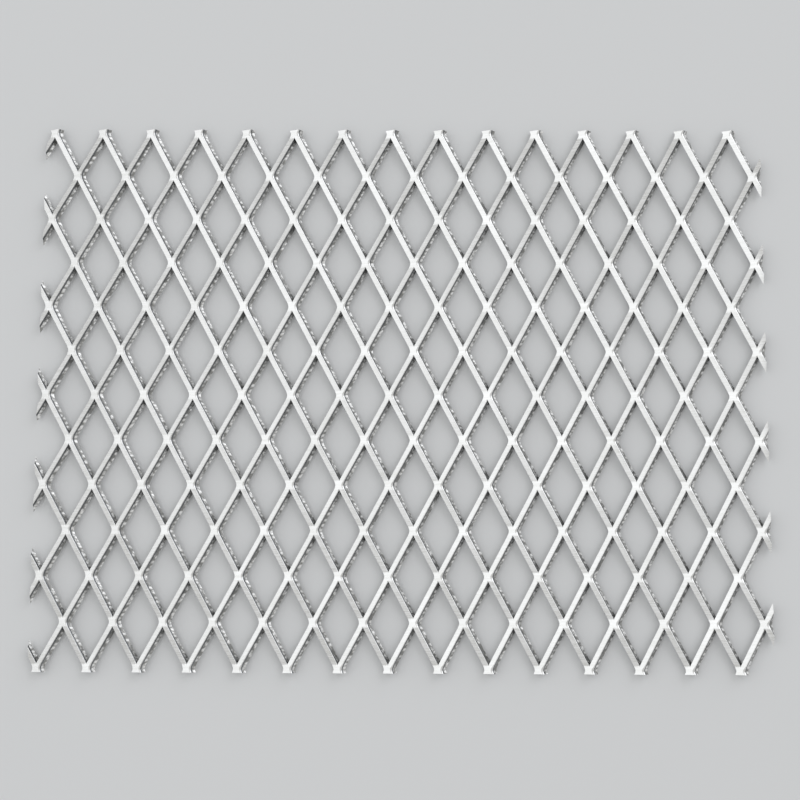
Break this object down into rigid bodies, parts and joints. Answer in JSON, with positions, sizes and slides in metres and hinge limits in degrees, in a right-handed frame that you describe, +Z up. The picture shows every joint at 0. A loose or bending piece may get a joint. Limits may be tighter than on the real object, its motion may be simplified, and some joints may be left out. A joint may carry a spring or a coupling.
{
  "type": "expanded aluminium mesh",
  "caption": "Flat rectangular piece of raised expanded aluminium mesh with tilted strands, diamond openings, bonds at the crossings and square sheared edges.",
  "frame": {"origin": "centre of the piece's outline, at the level of the surface that it lies on", "axes": "+X along the short way of the diamonds, which is the piece's longer side; +Y along the long way of the diamonds; +Z up, square to the sheet, out of the face that shows"},
  "size_m": [0.1782, 0.1338, 0.0026],
  "materials": {
    "mill_aluminium": "mill finish, satin rolled faces with bright sheared edges"
  },
  "bodies": {
    "root": {"mesh_sheet": "mill_aluminium"}
  },
  "joints": []
}
